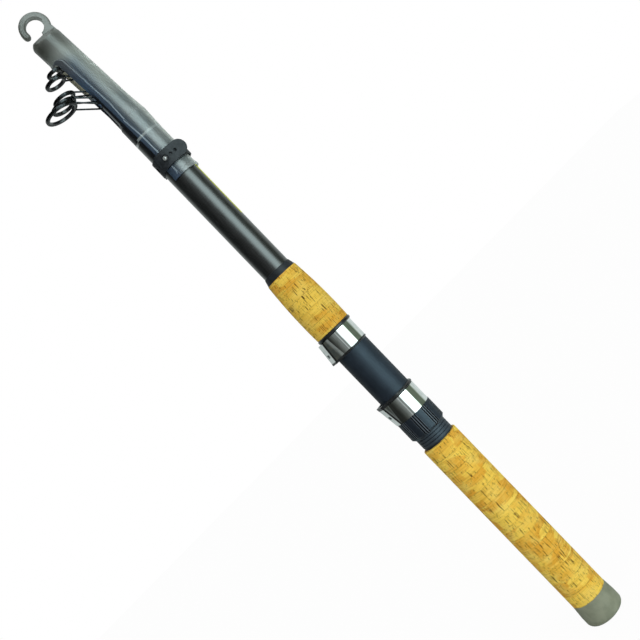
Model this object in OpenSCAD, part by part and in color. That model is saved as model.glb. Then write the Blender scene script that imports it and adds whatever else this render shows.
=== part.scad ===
// Telescopic fishing rod, closed for carrying: cork grips, a reel seat and a slotted tip cover.
// The rod stands along +Z with its butt end at z = 0. The guides and the reel hoods face -X.

/* [Butt end] */
// Height of the rubber butt cap
butt_cap_h = 18.4; // [15:0.2:26]
// Widest diameter of the butt cap
butt_cap_d = 29.6; // [28.6:0.2:33]
// Length of the straight band at the butt cap's widest place
butt_band_l = 5; // [3:0.5:8]
// Rounding of the butt cap's end
butt_round = 3.6; // [1:0.2:5]
// Rubber under the end of the butt section
butt_floor = 4; // [2:0.5:8]
// Length of the plug in the butt section
plug_l = 12; // [8:1:20]
// Wall of the plug
plug_wall = 1.6; // [1:0.1:3]
// Thickness of the cushion on the plug
cushion_l = 5; // [2:0.5:8]

/* [Cork grips] */
// Diameter of the rear grip
grip_d = 28; // [26:0.2:30]
// Length of the rear grip
rear_grip_l = 146.4; // [100:0.1:220]
// Cork rings in the rear grip
rear_rings = 14; // [8:1:20]
// Rounding of the rear grip's front edge
grip_round = 0.8; // [0.2:0.1:1.5]
// Length of the fore grip
fore_grip_l = 50.1; // [36:0.1:90]
// Cork rings in the fore grip
fore_rings = 5; // [3:1:8]
// Diameter of the fore grip at its widest place
fore_d = 28.2; // [26:0.2:30]
// Distance from the fore grip's rear end to its widest place
fore_peak = 14; // [6:0.5:20]
// Diameter of the fore grip at its front end
fore_front_d = 24.8; // [23.6:0.2:26]
// Glue line between two cork rings
glue_line = 0.05; // [0.03:0.01:0.1]

/* [Reel seat] */
// Wall of the seat's tube over the blank
seat_wall = 2.05; // [1.6:0.05:3]
// Thread left in view behind the nut
thread_show = 9.4; // [8:0.2:20]
// How far the thread lies below the seat's barrel
thread_drop = 0.25; // [0.15:0.05:0.5]
// Length of the thread
thread_l = 40; // [36:0.5:50]
// Length of the locking nut
nut_l = 16.4; // [12:0.1:20]
// Wall of the locking nut
nut_wall = 1.8; // [1.2:0.1:3]
// Groups of grooves round the locking nut
nut_groups = 9; // [5:1:9]
// Width of one groove in the locking nut
groove_w = 0.84; // [0.6:0.02:1]
// Depth of the grooves in the locking nut
groove_depth = 0.55; // [0.4:0.05:0.6]
// Length of the sliding hood's shell
hood_l = 15.6; // [13:0.1:22]
// Length of the black lip at the sliding hood's mouth
hood_lip_l = 2.4; // [1.4:0.1:4]
// Wall of the plastic carrier under the sliding hood's shell
carrier_wall = 0.65; // [0.5:0.05:1.2]
// Length of the carrier's tail inside the nut
tail_l = 4; // [2:0.2:6]
// Thickness of the chrome shells
shell_t = 0.6; // [0.4:0.05:1]
// Plastic between a shell and the reel foot
pocket_lining = 0.9; // [0.6:0.05:1.4]
// Width of the sliding hood's flat roof
hood_roof_w = 8.8; // [8:0.2:12]
// Width of the fixed hood's flat roof
fixed_roof_w = 10.2; // [9:0.2:13]
// Width of the pockets' flanks where they run into the round shell
flank_w = 22.4; // [21:0.2:23]
// Depth of the pockets' flanks under the roof
flank_depth = 11; // [9:0.2:12]
// Bevel along the roofs' edges
roof_bevel = 0.5; // [0.2:0.05:1]
// How deep a reel foot goes into a pocket
pocket_depth = 13; // [9:0.2:14]
// Height of the sliding hood's roof over its round shell, at the rear
hood_rise_rear = 0.2; // [0.1:0.1:1]
// Height of the sliding hood's roof over its round shell, at the mouth
hood_rise_mouth = 2.6; // [1.6:0.1:4]
// Height of the fixed hood's roof over its round shell, at the mouth
fixed_rise_mouth = 3.8; // [2.4:0.1:5]
// Height of the fixed hood's roof over its round shell, at the front
fixed_rise_front = 2.2; // [0.6:0.1:2.6]
// Free length between the two hoods
foot_gap = 41.6; // [30:0.1:60]
// Length of the lip at the fixed hood's mouth
fixed_lip_l = 1.6; // [0.6:0.1:2]
// Length of the fixed hood's shell
fixed_hood_l = 14.8; // [14:0.1:22]
// Length of the trim ring in front of the fixed hood
trim_l = 2.7; // [1:0.1:4]
// Step from the trim ring down to the fore grip's widest place
trim_step = 0.2; // [0.1:0.05:0.6]

/* [Butt section] */
// Outer diameter of the butt section
blank_d = 21.2; // [20.4:0.1:22]
// Wall of the butt section at its mouth
blank_wall = 1.2; // [1:0.05:1.6]
// Length of the butt section in front of the winding check
blank_reach = 126.6; // [100:0.2:200]
// Length of the winding check
check_l = 5; // [3:0.2:8]
// Step from the fore grip's front end down to the winding check
check_step = 0.2; // [0.1:0.05:0.5]
// Edge of the winding check on the blank
check_edge = 0.3; // [0.2:0.05:0.6]
// Length of the ring at the butt section's mouth
mouth_ring_l = 2; // [1:0.1:4]
// Thickness of the ring at the butt section's mouth
mouth_ring_t = 0.5; // [0.3:0.05:0.7]

/* [Inner sections] */
// Wall of the inner sections
section_wall = 0.9; // [0.7:0.05:0.95]
// Radial room between a mouth and the tip of the section inside it
section_step = 1.05; // [0.9:0.05:1.1]
// Length of each cone joint
joint_l = 45; // [30:1:60]
// Taper of the cone joints, radius over length
joint_taper = 0.0025; // [0.001:0.0005:0.004]
// Radial play in a closed cone joint
joint_gap = 0.06; // [0.02:0.01:0.1]
// Diameter of the rod's tip
tip_d = 1.8; // [1.4:0.1:2.4]
// How far the tip of section 2 stands over the mouth below it
stand_2 = 36; // [26:0.5:50]
// How far the tip of section 3 stands over the mouth below it
stand_3 = 5; // [4.6:0.1:8]
// How far the tip of section 4 stands over the mouth below it
stand_4 = 5; // [4.6:0.1:8]
// How far the tip of section 5 stands over the mouth below it
stand_5 = 14; // [10:0.5:20]
// How far the tip of section 6 stands over the mouth below it
stand_6 = 8; // [6:0.5:12]
// Gap under a stop when the rod is closed
seat_gap = 0.2; // [0.1:0.05:0.4]
// Room between the cushion and the closed sections
base_gap = 1.5; // [0.5:0.1:4]

/* [Guides] */
// Outer diameter of the ring on section 2
ring_2_d = 24.6; // [22:0.2:28]
// Outer diameter of the ring on section 3
ring_3_d = 19.2; // [17:0.2:21]
// Outer diameter of the ring on section 4
ring_4_d = 17; // [15:0.2:19]
// Outer diameter of the ring on section 5
ring_5_d = 16; // [14:0.2:17]
// Outer diameter of the ring on section 6
ring_6_d = 12.6; // [11.6:0.2:13.4]
// Distance from the axis to the ring centre of section 2
reach_2 = 33; // [30:0.2:38]
// Distance from the axis to the ring centre of section 3
reach_3 = 28.4; // [26:0.2:32]
// Distance from the axis to the ring centre of section 4
reach_4 = 24.7; // [22:0.2:28]
// Distance from the axis to the ring centre of section 5
reach_5 = 21.1; // [20:0.2:24]
// Distance from the axis to the ring centre of section 6
reach_6 = 16.6; // [15:0.2:18]
// Height of the ring centre over the tip of section 2
rise_2 = 12; // [8:0.2:12.4]
// Height of the ring centre over the tip of section 3
rise_3 = 10; // [9.6:0.2:11]
// Height of the ring centre over the tip of section 4
rise_4 = 8.6; // [8:0.2:12]
// Height of the ring centre over the tip of section 5
rise_5 = 7; // [6:0.2:8]
// Height of the ring centre over the tip of section 6
rise_6 = 4.6; // [4:0.2:8]
// Lean of the rings, with their outer edge towards the tip
ring_lean = 6; // [0:0.5:10]
// Radial thickness of a ring's metal frame
frame_t = 1.3; // [1:0.05:1.6]
// Straight height of a ring's metal frame
frame_straight = 0.8; // [0.4:0.05:1]
// Radial thickness of a ring's ceramic insert
insert_t = 1.5; // [1:0.05:1.8]
// Diameter of the leg wire
wire_d = 1.2; // [1:0.05:1.3]
// Angle on the ring between its inner edge and a leg
leg_spread = 27; // [20:1:40]
// Wall of a guide's foot tube
foot_wall = 0.5; // [0.4:0.05:0.7]
// How far a stop lip reaches past the bore that it rests on
stop_lip = 0.5; // [0.3:0.05:0.8]
// Height of a stop lip
stop_h = 1.4; // [1:0.1:2.4]
// Length of the stop collar of section 2
collar_l = 19; // [14:0.5:20]
// Length of the cone at the front of the stop collar
collar_taper = 5; // [3:0.5:8]
// Length of the foot tube above the stop collar of section 2
foot_2_l = 5.5; // [4:0.5:9]

/* [Tip cover] */
// Play between the cover's skirt and the blank
cover_gap = 0.25; // [0.15:0.05:0.4]
// Wall of the skirt
skirt_wall = 0.75; // [0.6:0.05:1]
// Length of the skirt below the butt section's mouth
skirt_l = 37; // [28:0.5:60]
// Width of the ledge that rests on the butt section's mouth
ledge = 0.25; // [0.2:0.05:0.35]
// Wall of the cover's tube
tube_wall = 1; // [0.8:0.05:1.2]
// Height of the shoulder over the butt section's mouth
shoulder_up = 17; // [10:0.5:24]
// Swelling of the skirt at its shoulder
shoulder_swell = 0.55; // [0.1:0.05:0.6]
// Length of the neck from the shoulder to the cover's tube
neck_l = 13; // [8:0.5:16]
// Turn of the cover round the rod, out of the guides' plane
cover_turn = 11; // [8:0.5:12]
// Lean of the cover's tube towards its slot
cover_lean = 3.4; // [0:0.1:3.6]
// Room between the rod's tip and the cover's end
tip_room = 30; // [24:0.5:50]
// Thickness of the cover's closed end
end_wall = 1.2; // [0.8:0.1:3]
// Slope of the two sides of the cover's closed end
end_slope = 38; // [28:1:44]
// Rise of the cover's closed end from its corner on the slot's side to the hook
end_rise = 2; // [1:0.1:2.4]
// Rounding of the cover's closed end
end_round = 3.5; // [1:0.1:5]
// Bead at the cover's rim
rim_bead = 0.6; // [0.1:0.05:0.6]
// Length of the bead at the cover's rim
rim_l = 3.5; // [2:0.1:6]
// Half width of the slot at the rim
slot_half = 8.5; // [8.2:0.05:8.6]
// Half width of the slot at its closed end
slot_top_half = 8; // [7.9:0.05:8.4]
// Radius of the corners of the slot's closed end
slot_corner = 4; // [3:0.1:5]
// Height of the slot's closed end over the smallest ring
slot_over = 3.9; // [3.8:0.1:6]
// Width of the thickened rim along the slot
slot_rim_w = 2.6; // [1.5:0.1:2.6]
// Height of the thickened rim along the slot
slot_rim_t = 0.35; // [0.1:0.05:0.4]
// Diameter of the hook's eye
hook_eye_d = 12.5; // [11:0.1:14]
// Width of the hook's band
hook_band = 4.8; // [3.6:0.1:5]
// Thickness of the hook
hook_t = 4.6; // [3.4:0.1:6]
// Bevel along the hook's edges
hook_bevel = 1.1; // [0.6:0.1:1.2]
// Shift of the eye away from the guides
hook_shift = 1.3; // [0:0.1:2]
// Height of the eye over the cover's end
hook_sit = 2.2; // [1.6:0.1:3]
// Height of the hook's mouth
hook_mouth = 4.8; // [4.2:0.1:5.4]

/* [Strap] */
// Width of the strap
strap_w = 11.6; // [10:0.1:16]
// Height of the strap over the cover's rim
strap_up = 8.7; // [6:0.1:12]
// Thickness of the strap's band
strap_t = 1.05; // [0.8:0.05:1.4]
// Play between the cover's rim and the strap
strap_gap = 0.3; // [0.2:0.05:0.5]
// Play between the strap and the slot's edges
slot_play = 0.3; // [0.2:0.05:0.6]
// Diameter of the hole in the strap where it crosses the slot
pad_hole_d = 3.2; // [2:0.1:4]
// Straight length of the tab's free end
tab_flat_l = 11.1; // [10:0.1:16]
// Thickness of the free tab
tab_t = 1.1; // [0.8:0.05:1.4]
// Play between the band and the tab
tab_gap = 0.2; // [0.15:0.05:0.4]
// Diameter of the peg
peg_d = 3; // [2.4:0.1:3.2]
// How far the peg stands over the tab
peg_over = 0.5; // [0.2:0.1:0.8]
// Diameter of the hole that is stretched over the peg
peg_hole_d = 5.2; // [5:0.1:5.6]
// Diameter of the spare holes
spare_hole_d = 2.6; // [1.6:0.1:3.2]

/* [Hidden] */
$fn = 96;
// Lap that makes cuts pass clean through a face
lap = 1;

// Radii of the handle
grip_r = grip_d / 2;
cap_r = butt_cap_d / 2;
blank_r = blank_d / 2;
blank_bore = blank_r - blank_wall;
butt_bore = blank_bore + 2 * joint_gap + joint_taper * joint_l + 0.03;
seat_r = blank_r + seat_wall;
thread_r = seat_r - thread_drop;
run_gap = 0.1;
nut_bore = thread_r + run_gap;
nut_r = nut_bore + nut_wall;
carrier_bore = seat_r + run_gap;
carrier_r = carrier_bore + carrier_wall;
hood_r = carrier_r + shell_t;
fixed_r = seat_r + shell_t;
lip_over = 0.2;
fore_fall = (fore_d - fore_front_d) / 2;
trim_r = fore_d / 2 + trim_step;

// Stations along the handle, from the butt end
z_rear = butt_cap_h;
z_seat = z_rear + rear_grip_l;
z_nut = z_seat + thread_show;
z_hood = z_nut + nut_l;
z_hood_lip = z_hood + hood_l;
z_hood_mouth = z_hood_lip + hood_lip_l;
z_fixed_mouth = z_hood_mouth + foot_gap;
z_fixed = z_fixed_mouth + fixed_lip_l;
z_trim = z_fixed + fixed_hood_l;
z_fore = z_trim + trim_l;
z_check = z_fore + fore_grip_l;
z_blank = z_check + check_l;
z_mouth = z_blank + blank_reach;
z_base = butt_floor + plug_l + cushion_l + base_gap;

// The six sections, counted from the butt section: tip height, tip radius and mouth bore
z_tip = [
    z_mouth,
    z_mouth + stand_2,
    z_mouth + stand_2 + stand_3,
    z_mouth + stand_2 + stand_3 + stand_4,
    z_mouth + stand_2 + stand_3 + stand_4 + stand_5,
    z_mouth + stand_2 + stand_3 + stand_4 + stand_5 + stand_6
];
function mouth_bore(i) = blank_bore - i * (section_step + section_wall);
function tip_r(i) = i == 5 ? tip_d / 2 : mouth_bore(i - 1) - section_step;
function base_r(i) = mouth_bore(i - 1) + joint_taper * joint_l - joint_gap;

// The five guides, on sections 1 to 5 of the list above
ring_r = [0, ring_2_d / 2, ring_3_d / 2, ring_4_d / 2, ring_5_d / 2, ring_6_d / 2];
reach = [0, reach_2, reach_3, reach_4, reach_5, reach_6];
rise = [0, rise_2, rise_3, rise_4, rise_5, rise_6];
function foot_r(i) = tip_r(i) + foot_wall;
function stop_r(i) = mouth_bore(i - 1) + stop_lip;
function ring_z(i) = z_tip[i] + rise[i];
function foot_z(i) = i == 1 ? z_tip[i] - foot_2_l : z_tip[i - 1] + seat_gap;

// The tip cover
z_rim = z_mouth - skirt_l;
z_lean = z_mouth + shoulder_up;
skirt_in = blank_r + cover_gap;
skirt_r = skirt_in + skirt_wall;
rim_r = skirt_r + rim_bead;
shoulder_in = blank_r - ledge;
ledge_up = collar_l - collar_taper * (1 - ledge / (blank_r - foot_r(1)));
z_ledge = z_mouth + 2 * seat_gap + ledge_up;
shoulder_r = skirt_r + shoulder_swell;
neck_step = 0.1;
tube_in = shoulder_in - neck_step;
tube_r = tube_in + tube_wall;
tube_l = (z_tip[5] + tip_room - z_lean) / cos(cover_lean);
slot_z = ring_z(5) + slot_over - slot_corner;
hook_mid = (hook_eye_d + hook_band) / 2;
hook_v = tube_l + hook_sit + hook_eye_d / 2;
hook_end = 180 - asin((tube_l + hook_mouth + hook_band / 2 - hook_v) / hook_mid);

// The strap, with angles round the rod from +X
z_strap = z_rim + strap_up;
strap_in = rim_r + strap_gap;
strap_out = strap_in + strap_t;
tab_in = strap_out + tab_gap;
tab_out = tab_in + tab_t;
slot_mid = 180 - cover_turn;
slot_turn = asin(slot_half / skirt_r) - slot_play / skirt_r * 180 / PI;
riser_turn = strap_t / skirt_r * 180 / PI;
tab_from = slot_mid + slot_turn + riser_turn / 2;
tab_to = 270;
peg_at = 243;
spare_at = 262;
spare_step = 2;

// A tube along the rod's axis
module tube(outer, inner, z0, z1) {
    difference() {
        translate([0, 0, z0]) cylinder(r = outer, h = z1 - z0);
        translate([0, 0, z0 - lap]) cylinder(r = inner, h = z1 - z0 + 2 * lap);
    }
}

// Part of a tube, from one angle round the rod to another
module tube_arc(outer, inner, z0, z1, a0, a1) {
    rotate([0, 0, a0])
        rotate_extrude(angle = a1 - a0)
            translate([inner, z0])
                square([outer - inner, z1 - z0]);
}

// A slab across the rod, wide enough to hold everything
module slab(z0, z1) {
    translate([-60, -60, z0]) cube([120, 120, z1 - z0]);
}

// A flat outline drawn in Y and Z, as a prism on the guides' side of the rod
module guide_side_prism(depth) {
    translate([-depth, 0, 0])
        rotate([90, 0, 90])
            linear_extrude(depth)
                children();
}

// A drilling from the axis outwards at an angle round the rod
module radial(a, z) {
    translate([0, 0, z])
        rotate([0, 0, a])
            rotate([0, 90, 0])
                children();
}

// Butt end

module butt_cap() {
    color("#767c6e")
        difference() {
            rotate_extrude() {
                square([cap_r - butt_round, butt_round]);
                translate([cap_r - butt_round, butt_round]) circle(butt_round);
                polygon([
                    [0, butt_round],
                    [cap_r, butt_round],
                    [cap_r, butt_round + butt_band_l],
                    [grip_r, butt_cap_h],
                    [0, butt_cap_h]
                ]);
            }
            translate([0, 0, butt_floor]) cylinder(r = blank_r, h = butt_cap_h);
        }
}

module butt_plug() {
    color("#202020")
        difference() {
            translate([0, 0, butt_floor]) cylinder(r = butt_bore, h = plug_l);
            translate([0, 0, butt_floor - lap])
                cylinder(r = butt_bore - plug_wall, h = plug_l - plug_wall + lap);
        }
}

module plug_cushion() {
    color("#303030")
        translate([0, 0, butt_floor + plug_l])
            cylinder(r = butt_bore - 2 * run_gap, h = cushion_l);
}

module butt_section() {
    cone_l = (butt_bore - blank_bore) / joint_taper;
    color("#17181a")
        rotate_extrude()
            polygon([
                [butt_bore, butt_floor],
                [blank_r, butt_floor],
                [blank_r, z_mouth - mouth_ring_l],
                [blank_r - mouth_ring_t, z_mouth - mouth_ring_l],
                [blank_r - mouth_ring_t, z_mouth],
                [blank_bore, z_mouth],
                [butt_bore, z_mouth - cone_l]
            ]);
}

module mouth_ring() {
    color("#a8aaa6")
        tube(blank_r, blank_r - mouth_ring_t, z_mouth - mouth_ring_l, z_mouth);
}

// Cork grips

module rear_grip() {
    ring_l = rear_grip_l / rear_rings;
    color("#d3a650")
        for (k = [0 : rear_rings - 1])
            let (z0 = z_rear + k * ring_l)
                let (z1 = z0 + ring_l - glue_line)
                    if (k < rear_rings - 1)
                        tube(grip_r, blank_r, z0, z1);
                    else
                        rotate_extrude() {
                            translate([blank_r, z0]) square([grip_r - blank_r, z1 - grip_round - z0]);
                            translate([blank_r, z0]) square([grip_r - grip_round - blank_r, z1 - z0]);
                            translate([grip_r - grip_round, z1 - grip_round]) circle(grip_round);
                        }
}

// Radius of the fore grip at a distance from its rear end, along a barrel's arc
function fore_r(u) = fore_d / 2 - fore_fall * pow((u - fore_peak) / (fore_grip_l - fore_peak), 2);

module fore_grip() {
    ring_l = fore_grip_l / fore_rings;
    steps = 4;
    color("#d3a650")
        for (k = [0 : fore_rings - 1])
            let (u0 = k * ring_l)
                let (du = (ring_l - glue_line) / steps)
                    translate([0, 0, z_fore])
                        rotate_extrude()
                            polygon(concat(
                                [[blank_r, u0]],
                                [for (j = [0 : steps]) [fore_r(u0 + j * du), u0 + j * du]],
                                [[blank_r, u0 + steps * du]]
                            ));
}

// Reel seat

module reel_seat() {
    color("#2b3238") {
        tube(thread_r, blank_r, z_seat, z_seat + thread_l);
        tube(seat_r, blank_r, z_seat + thread_l, z_trim);
    }
}

// The raised pocket over a reel foot, as a bar with flared flanks and a sloping flat roof
module pocket_bar(inset, roof_w, roof_0, roof_1, z0, z1) {
    roof_half = roof_w / 2 - 0.7 * inset;
    flank_half = flank_w / 2 - inset;
    slope = atan2(roof_0 - roof_1, z1 - z0);
    translate([-roof_0, 0, z0])
        rotate([0, slope, 0])
            translate([0, 0, -pocket_depth])
                linear_extrude(z1 - z0 + 2 * pocket_depth)
                    polygon([
                        [inset, roof_bevel - roof_half],
                        [inset, roof_half - roof_bevel],
                        [inset + roof_bevel, roof_half],
                        [flank_depth, flank_half],
                        [flank_depth, -flank_half],
                        [inset + roof_bevel, -roof_half]
                    ]);
}

module fixed_pocket(inset) {
    pocket_bar(inset, fixed_roof_w, fixed_r + fixed_rise_mouth, fixed_r + fixed_rise_front,
        z_fixed_mouth, z_trim);
}

module hood_pocket(inset) {
    pocket_bar(inset, hood_roof_w, hood_r + hood_rise_rear, hood_r + hood_rise_mouth,
        z_hood, z_hood_mouth);
}

// An oval hole through the middle of a pocket's roof
module roof_hole(z) {
    hole_w = 4.4;
    hole_l = 2.4;
    guide_side_prism(2 * seat_r) {
        translate([0, z]) square([hole_w - hole_l, hole_l], center = true);
        for (s = [-1, 1])
            translate([s * (hole_w - hole_l) / 2, z]) circle(hole_l / 2);
    }
}

// The round part of a hood's lip, with its edges taken off
module lip_ring(outer, z0, z1) {
    edge = 0.35 * (z1 - z0);
    rotate_extrude()
        polygon([
            [0, z0],
            [outer - edge, z0],
            [outer, z0 + edge],
            [outer, z1 - edge],
            [outer - edge, z1],
            [0, z1]
        ]);
}

module fixed_hood_core() {
    color("#1f2428")
        difference() {
            union() {
                intersection() {
                    slab(z_fixed, z_trim);
                    fixed_pocket(shell_t);
                }
                intersection() {
                    slab(z_fixed_mouth, z_fixed);
                    union() {
                        lip_ring(fixed_r + lip_over, z_fixed_mouth, z_fixed);
                        fixed_pocket(-lip_over / 2);
                    }
                }
            }
            cylinder(r = seat_r, h = z_trim + lap);
            intersection() {
                slab(z_fixed_mouth - lap, z_fixed_mouth + pocket_depth);
                fixed_pocket(shell_t + pocket_lining);
            }
        }
}

module fixed_hood_shell() {
    color("#c9ccd0")
        difference() {
            intersection() {
                slab(z_fixed, z_trim);
                union() {
                    cylinder(r = fixed_r, h = z_trim);
                    fixed_pocket(0);
                }
            }
            cylinder(r = seat_r, h = z_trim + lap);
            fixed_pocket(shell_t);
            roof_hole(z_fixed + fixed_hood_l * 0.36);
        }
}

module trim_ring() {
    edge = trim_l / 4;
    color("#1a1b1d")
        rotate_extrude()
            polygon([
                [blank_r, z_trim],
                [trim_r - edge, z_trim],
                [trim_r, z_trim + edge],
                [trim_r, z_fore - edge],
                [trim_r - edge, z_fore],
                [blank_r, z_fore]
            ]);
}

module hood_carrier() {
    color("#1f2428")
        difference() {
            union() {
                translate([0, 0, z_hood - tail_l])
                    cylinder(r = carrier_r - run_gap, h = tail_l);
                translate([0, 0, z_hood]) cylinder(r = carrier_r, h = hood_l);
                intersection() {
                    slab(z_hood, z_hood_lip);
                    hood_pocket(shell_t);
                }
                intersection() {
                    slab(z_hood_lip, z_hood_mouth);
                    union() {
                        lip_ring(hood_r + 2 * lip_over, z_hood_lip, z_hood_mouth);
                        hood_pocket(-lip_over / 2);
                    }
                }
            }
            cylinder(r = carrier_bore, h = z_hood_mouth + lap);
            intersection() {
                slab(z_hood_mouth - pocket_depth, z_hood_mouth + lap);
                hood_pocket(shell_t + pocket_lining);
            }
        }
}

module hood_shell() {
    color("#c9ccd0")
        difference() {
            intersection() {
                slab(z_hood, z_hood_lip);
                union() {
                    cylinder(r = hood_r, h = z_hood_lip);
                    hood_pocket(0);
                }
            }
            cylinder(r = carrier_r, h = z_hood_lip + lap);
            hood_pocket(shell_t);
            roof_hole(z_hood + hood_l / 2);
        }
}

module locking_nut() {
    chamfer = nut_wall;
    top = z_hood - run_gap;
    groove_step = 2 * groove_w;
    color("#2b3238")
        difference() {
            rotate_extrude()
                polygon([
                    [nut_bore, z_nut],
                    [nut_r - chamfer + run_gap, z_nut],
                    [nut_r, z_nut + chamfer],
                    [nut_r, top],
                    [carrier_r, top],
                    [carrier_r, z_hood - tail_l - run_gap],
                    [nut_bore, z_hood - tail_l - run_gap]
                ]);
            for (g = [0 : nut_groups - 1], s = [-1, 0, 1])
                rotate([0, 0, g * 360 / nut_groups + s * groove_step / nut_r * 180 / PI])
                    translate([nut_r - groove_depth, -groove_w / 2, z_nut + chamfer])
                        cube([2 * groove_depth, groove_w, nut_l]);
        }
}

module winding_check() {
    color("#17181a")
        rotate_extrude()
            polygon([
                [blank_r, z_check],
                [fore_front_d / 2 - check_step, z_check],
                [blank_r + check_edge, z_blank],
                [blank_r, z_blank]
            ]);
}

// Inner sections

module section(i) {
    foot_l = z_tip[i] - foot_z(i) + (i == 1 ? stand_2 - foot_2_l : 0);
    outer = [
        [base_r(i), z_base],
        [base_r(i) - joint_taper * joint_l, z_base + joint_l],
        [tip_r(i), z_tip[i] - foot_l],
        [tip_r(i), z_tip[i]]
    ];
    bore = [
        [mouth_bore(i), z_tip[i]],
        [mouth_bore(i) + joint_taper * joint_l, z_tip[i] - joint_l],
        [base_r(i) - joint_taper * joint_l - section_wall, z_base + joint_l],
        [base_r(i) - section_wall, z_base]
    ];
    color("#1b1c1e")
        rotate_extrude()
            polygon(i < 5 ? concat(outer, bore) : concat([[0, z_base]], outer, [[0, z_tip[i]]]));
}

module stop_collar() {
    z0 = z_mouth + seat_gap;
    color("#151617")
        rotate_extrude()
            polygon([
                [tip_r(1), z0],
                [blank_r, z0],
                [blank_r, z0 + collar_l - collar_taper],
                [foot_r(1), z0 + collar_l],
                [foot_r(1), foot_z(1)],
                [tip_r(1), foot_z(1)]
            ]);
}

// Guides

// A point on the middle of a ring's frame, at an angle from the ring's inner edge
function ring_point(i, a) = [
    -reach[i] + (ring_r[i] - frame_t / 2) * cos(a) * cos(ring_lean),
    (ring_r[i] - frame_t / 2) * sin(a),
    ring_z(i) - (ring_r[i] - frame_t / 2) * cos(a) * sin(ring_lean)
];

// Where a leg leaves the foot tube
function leg_root(i, s) = [
    -tip_r(i) * cos(leg_spread),
    s * tip_r(i) * sin(leg_spread),
    z_tip[i] - wire_d
];

// A straight wire
module wire(p, q) {
    d = q - p;
    translate(p)
        rotate([0, acos(d[2] / norm(d)), atan2(d[1], d[0])])
            cylinder(d = wire_d, h = norm(d), $fn = 48);
}

// A ring with round edges, in the place of guide i
module guide_torus(i, outer, t, straight) {
    translate([-reach[i], 0, ring_z(i)])
        rotate([0, ring_lean, 0])
            rotate_extrude()
                translate([outer - t / 2, 0]) {
                    square([t, straight], center = true);
                    for (s = [-1, 1])
                        translate([0, s * straight / 2]) circle(d = t);
                }
}

module guide_frame(i) {
    color("#202226")
        difference() {
            union() {
                guide_torus(i, ring_r[i], frame_t, frame_straight);
                for (s = [-1, 1])
                    wire(leg_root(i, s), ring_point(i, s * leg_spread));
                translate([0, 0, foot_z(i)])
                    cylinder(r = foot_r(i), h = z_tip[i] - foot_z(i));
                if (i > 1)
                    translate([0, 0, foot_z(i)]) cylinder(r = stop_r(i), h = stop_h);
            }
            translate([0, 0, foot_z(i) - lap])
                cylinder(r = tip_r(i), h = z_tip[i] - foot_z(i) + 2 * lap);
        }
}

module guide_ring(i) {
    color("#3a3d40")
        guide_torus(i, ring_r[i] - frame_t, insert_t, frame_straight);
}

// Tip cover

// The cover's outside, grown by a little for the thickened rim of its slot
module cover_skin(grow) {
    rotate_extrude()
        polygon([
            [0, z_rim],
            [rim_r, z_rim],
            [rim_r, z_rim + rim_l / 2],
            [skirt_r + grow, z_rim + rim_l],
            [skirt_r + grow, z_mouth],
            [shoulder_r + grow, z_lean - lap],
            [shoulder_in + grow, z_lean + lap],
            [0, z_lean + lap]
        ]);
    leaning()
        intersection() {
            rotate_extrude() {
                polygon([
                    [0, -2 * lap],
                    [shoulder_r - 2 * neck_step + grow, -2 * lap],
                    [tube_r + grow, neck_l],
                    [tube_r + grow, tube_l - end_round],
                    [0, tube_l - end_round]
                ]);
                translate([0, tube_l - end_round])
                    square([tube_r + grow - end_round, end_round]);
                translate([tube_r + grow - end_round, tube_l - end_round]) circle(end_round);
            }
            end_roof(0);
            end_gable();
        }
}

// The frame of the leaning tube, with its origin on the rod's axis at the shoulder
module leaning() {
    translate([0, 0, z_lean])
        rotate([0, -cover_lean, 0])
            children();
}

// The slot's outline, widened for its rim
module slot_outline(widen) {
    polygon([
        [-slot_half - widen, z_rim - lap],
        [slot_half + widen, z_rim - lap],
        [slot_top_half + widen, slot_z],
        [-slot_top_half - widen, slot_z]
    ]);
    square_half = slot_top_half - slot_corner;
    translate([-square_half, slot_z]) square([2 * square_half, slot_corner + widen]);
    for (s = [-1, 1])
        translate([s * square_half, slot_z]) circle(slot_corner + widen);
}

// The cover's closed end as a roof with two slopes, set in by the thickness of a wall
module end_roof(inset) {
    half = 2 * tube_r;
    top = tube_l + end_rise / 2 - inset;
    drop = (half - hook_t / 2) * tan(end_slope);
    rotate([90, 0, 90])
        linear_extrude(4 * tube_r, center = true)
            polygon([
                [-half, -2 * lap],
                [half, -2 * lap],
                [half, top - drop],
                [hook_t / 2, top],
                [-hook_t / 2, top],
                [-half, top - drop]
            ]);
}

// The same end as seen across the hook: it rises from the slot's side and falls off behind the hook
module end_gable() {
    half = 2 * tube_r;
    top = tube_l + end_rise / 2;
    rise = end_rise / tube_r;
    rotate([90, 0, 0])
        linear_extrude(2 * half, center = true)
            polygon([
                [-half, -2 * lap],
                [half, -2 * lap],
                [half, top - 3 * rise * half],
                [0, top],
                [-half, top - rise * half]
            ]);
}

// A cut through the hook's band from a radius outwards, with bevelled edges and set in a little
module hook_section(from, inset) {
    inner = from + inset;
    outer = from + hook_band - inset;
    side = hook_t / 2 - inset;
    polygon([
        [inner, hook_bevel - side],
        [inner + hook_bevel, -side],
        [outer - hook_bevel, -side],
        [outer, hook_bevel - side],
        [outer, side - hook_bevel],
        [outer - hook_bevel, side],
        [inner + hook_bevel, side],
        [inner, side - hook_bevel]
    ]);
}

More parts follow.
